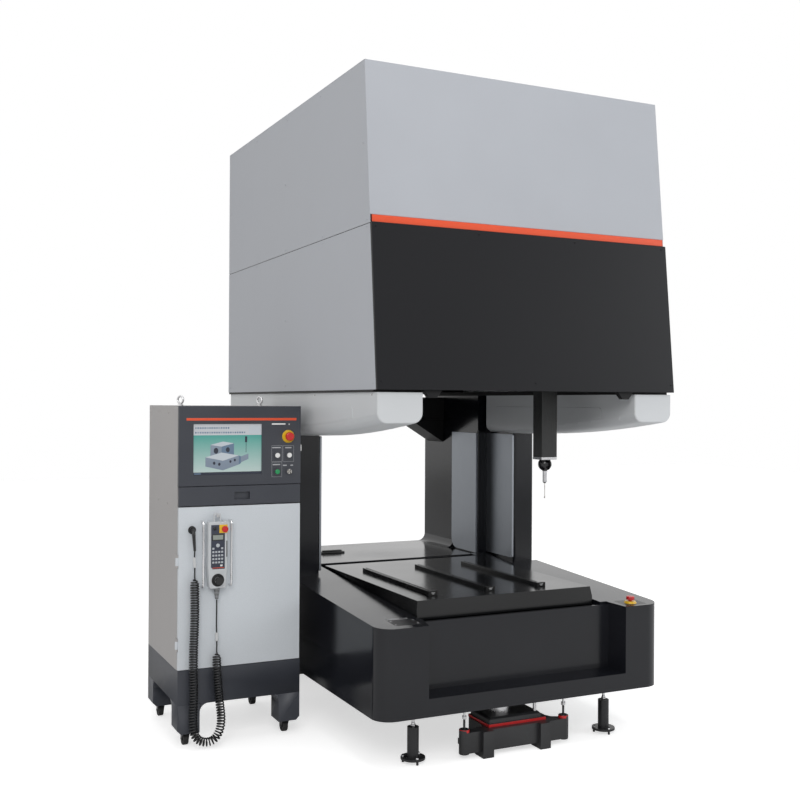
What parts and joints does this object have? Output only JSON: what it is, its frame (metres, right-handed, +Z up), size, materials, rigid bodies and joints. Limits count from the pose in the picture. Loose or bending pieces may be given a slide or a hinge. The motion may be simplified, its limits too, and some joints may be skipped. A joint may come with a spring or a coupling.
{
  "type": "coordinate measuring machine",
  "caption": "In-line coordinate measuring machine: enclosed bridge drive over a portal, ram with touch probe, table on a low base, and a wheeled control cabinet with a hand pendant.",
  "frame": {"origin": "middle of the set's footprint box on the floor, measured without the pendant's cord", "axes": "+X to the right seen from the front, +Y from the front to the back, +Z up"},
  "size_m": [2.0875, 2.0368, 2.889],
  "materials": {
    "cast_gloss_grey": "gloss paint",
    "cover_silver": "satin silver paint",
    "panel_silver": "satin silver paint",
    "panel_dark": "satin dark paint",
    "stripe_orange": "satin orange paint",
    "frame_black": "matt black paint",
    "guide_steel": "ground steel",
    "block_steel": "ground steel",
    "bridge_alloy": "machined and anodised",
    "ram_alloy": "grey anodised",
    "plate_alloy": "satin",
    "head_black": "black",
    "probe_steel": "polished steel",
    "support_black": "satin black paint",
    "foot_steel": "machined steel",
    "signal_red": "moulded red",
    "signal_yellow": "moulded yellow",
    "signal_green": "moulded green",
    "signal_white": "moulded white",
    "cabinet_grey": "textured grey paint",
    "cabinet_door_grey": "textured light grey paint",
    "cabinet_dark": "textured dark grey paint",
    "screen_glass": "display",
    "zinc": "zinc plated",
    "chrome_bar": "chrome plated",
    "caster_rubber": "grey rubber",
    "pendant_grey": "moulded light grey",
    "cord_black": "black"
  },
  "bodies": {
    "machine": {"base_casting": "cast_gloss_grey", "rear_deck": "cast_gloss_grey", "measuring_table": "cast_gloss_grey", "fixture_rails": "frame_black", "column_left": "cast_gloss_grey", "column_right": "cast_gloss_grey", "side_beams": "frame_black", "beam_cover_left": "cover_silver", "beam_cover_right": "cover_silver", "rear_cross_beam": "frame_black", "y_guide_rails": "guide_steel", "enclosure_frame": "frame_black", "side_panels": "panel_silver", "front_upper_panel": "panel_silver", "accent_stripe": "stripe_orange", "front_lower_panel": "panel_dark", "roof_and_rear_panels": "panel_silver", "safety_feet": "foot_steel", "isolators": "support_black", "deck_plates": "frame_black", "stop_collars": "signal_yellow", "cabinet_plinth": "cabinet_dark", "cabinet_shell": "cabinet_grey", "control_panel": "cabinet_dark", "display_screen": "screen_glass", "lifting_eyes": "zinc"},
    "bridge": {"bridge_beam": "bridge_alloy", "y_bearing_blocks": "block_steel", "x_guide_rails": "guide_steel"},
    "carriage": {"x_carriage": "bridge_alloy", "carriage_bearing_blocks": "block_steel", "z_drive_unit": "bridge_alloy"},
    "ram": {"z_ram": "ram_alloy", "ram_end_plate": "plate_alloy"},
    "head": {"head_rotor": "head_black"},
    "probe": {"head_tilt": "head_black", "touch_probe": "probe_steel", "stylus": "probe_steel"},
    "base_stop": {"base_stop_button": "signal_red"},
    "cabinet_stop": {"cabinet_stop_button": "signal_red"},
    "white_left": {"white_button_left": "signal_white"},
    "white_right": {"white_button_right": "signal_white"},
    "green": {"green_button": "signal_green"},
    "key": {"key_switch": "zinc"},
    "drawer": {"keyboard_drawer": "cabinet_dark"},
    "door": {"cabinet_door": "cabinet_door_grey", "pendant_holder": "chrome_bar", "cord_connector": "zinc", "pendant_cord": "cord_black"},
    "pendant": {"pendant_body": "pendant_grey"},
    "pendant_stop": {"pendant_stop_button": "signal_red"},
    "stick": {"joystick": "head_black"},
    "fork_front_left": {"caster_fork_front_left": "zinc"},
    "wheel_front_left": {"caster_wheel_front_left": "caster_rubber"},
    "fork_front_right": {"caster_fork_front_right": "zinc"},
    "wheel_front_right": {"caster_wheel_front_right": "caster_rubber"},
    "fork_rear_left": {"caster_fork_rear_left": "zinc"},
    "wheel_rear_left": {"caster_wheel_rear_left": "caster_rubber"},
    "fork_rear_right": {"caster_fork_rear_right": "zinc"},
    "wheel_rear_right": {"caster_wheel_rear_right": "caster_rubber"}
  },
  "joints": [
    {"name": "bridge_travel", "type": "slide", "parent": "machine", "child": "bridge", "axis": [0, 1, 0], "range_m": [-0.135, 0.865]},
    {"name": "carriage_travel", "type": "slide", "parent": "bridge", "child": "carriage", "axis": [1, 0, 0], "range_m": [-0.74, 0.16]},
    {"name": "ram_travel", "type": "slide", "parent": "carriage", "child": "ram", "axis": [0, 0, 1], "range_m": [-0.35, 0.25]},
    {"name": "head_turn", "type": "hinge", "parent": "ram", "child": "head", "pos_m": [0.59675, -0.64656, 1.216], "axis": [0, 0, 1], "range_deg": [-180, 180]},
    {"name": "head_tilt_turn", "type": "hinge", "parent": "head", "child": "probe", "pos_m": [0.59675, -0.64656, 1.216], "axis": [-1, 0, 0], "range_deg": [0, 105]},
    {"name": "base_stop_press", "type": "slide", "parent": "machine", "child": "base_stop", "axis": [0, 0.0529, -0.9986], "range_m": [0, 0.006], "stiffness_N_per_m": 600, "springref_m": -0.004},
    {"name": "cabinet_stop_press", "type": "slide", "parent": "machine", "child": "cabinet_stop", "axis": [0, 1, 0], "range_m": [0, 0.006], "stiffness_N_per_m": 600, "springref_m": -0.004},
    {"name": "white_left_press", "type": "slide", "parent": "machine", "child": "white_left", "axis": [0, 1, 0], "range_m": [0, 0.004], "stiffness_N_per_m": 400, "springref_m": -0.002},
    {"name": "white_right_press", "type": "slide", "parent": "machine", "child": "white_right", "axis": [0, 1, 0], "range_m": [0, 0.004], "stiffness_N_per_m": 400, "springref_m": -0.002},
    {"name": "green_press", "type": "slide", "parent": "machine", "child": "green", "axis": [0, 1, 0], "range_m": [0, 0.004], "stiffness_N_per_m": 400, "springref_m": -0.002},
    {"name": "key_turn", "type": "hinge", "parent": "machine", "child": "key", "pos_m": [-0.53325, -0.28856, 1.187], "axis": [0, 1, 0], "range_deg": [0, 90]},
    {"name": "drawer_slide", "type": "slide", "parent": "machine", "child": "drawer", "axis": [0, -1, 0], "range_m": [0, 0.3]},
    {"name": "door_swing", "type": "hinge", "parent": "machine", "child": "door", "pos_m": [-1.03725, -0.28156, 0.809], "axis": [0, 0, -1], "range_deg": [0, 110]},
    {"name": "pendant_lift", "type": "slide", "parent": "door", "child": "pendant", "axis": [0, 0, 1], "range_m": [0, 0.018]},
    {"name": "pendant_stop_press", "type": "slide", "parent": "pendant", "child": "pendant_stop", "axis": [0, 1, 0], "range_m": [0, 0.003], "stiffness_N_per_m": 400, "springref_m": -0.002},
    {"name": "joystick_tilt", "type": "hinge", "parent": "pendant", "child": "stick", "pos_m": [-0.87025, -0.32756, 0.727], "axis": [1, 0, 0], "range_deg": [-20, 20], "stiffness_Nm_per_rad": 0.3},
    {"name": "swivel_front_left", "type": "hinge", "parent": "machine", "child": "fork_front_left", "pos_m": [-0.98325, -0.23656, 0.065], "axis": [0, 0, 1], "continuous": true},
    {"name": "roll_front_left", "type": "hinge", "parent": "fork_front_left", "child": "wheel_front_left", "pos_m": [-0.98325, -0.21856, 0.028], "axis": [1, 0, 0], "continuous": true},
    {"name": "swivel_front_right", "type": "hinge", "parent": "machine", "child": "fork_front_right", "pos_m": [-0.52725, -0.23656, 0.065], "axis": [0, 0, 1], "continuous": true},
    {"name": "roll_front_right", "type": "hinge", "parent": "fork_front_right", "child": "wheel_front_right", "pos_m": [-0.52725, -0.21856, 0.028], "axis": [1, 0, 0], "continuous": true},
    {"name": "swivel_rear_left", "type": "hinge", "parent": "machine", "child": "fork_rear_left", "pos_m": [-0.98325, 0.23444, 0.065], "axis": [0, 0, 1], "continuous": true},
    {"name": "roll_rear_left", "type": "hinge", "parent": "fork_rear_left", "child": "wheel_rear_left", "pos_m": [-0.98325, 0.25244, 0.028], "axis": [1, 0, 0], "continuous": true},
    {"name": "swivel_rear_right", "type": "hinge", "parent": "machine", "child": "fork_rear_right", "pos_m": [-0.52725, 0.23444, 0.065], "axis": [0, 0, 1], "continuous": true},
    {"name": "roll_rear_right", "type": "hinge", "parent": "fork_rear_right", "child": "wheel_rear_right", "pos_m": [-0.52725, 0.25244, 0.028], "axis": [1, 0, 0], "continuous": true}
  ]
}
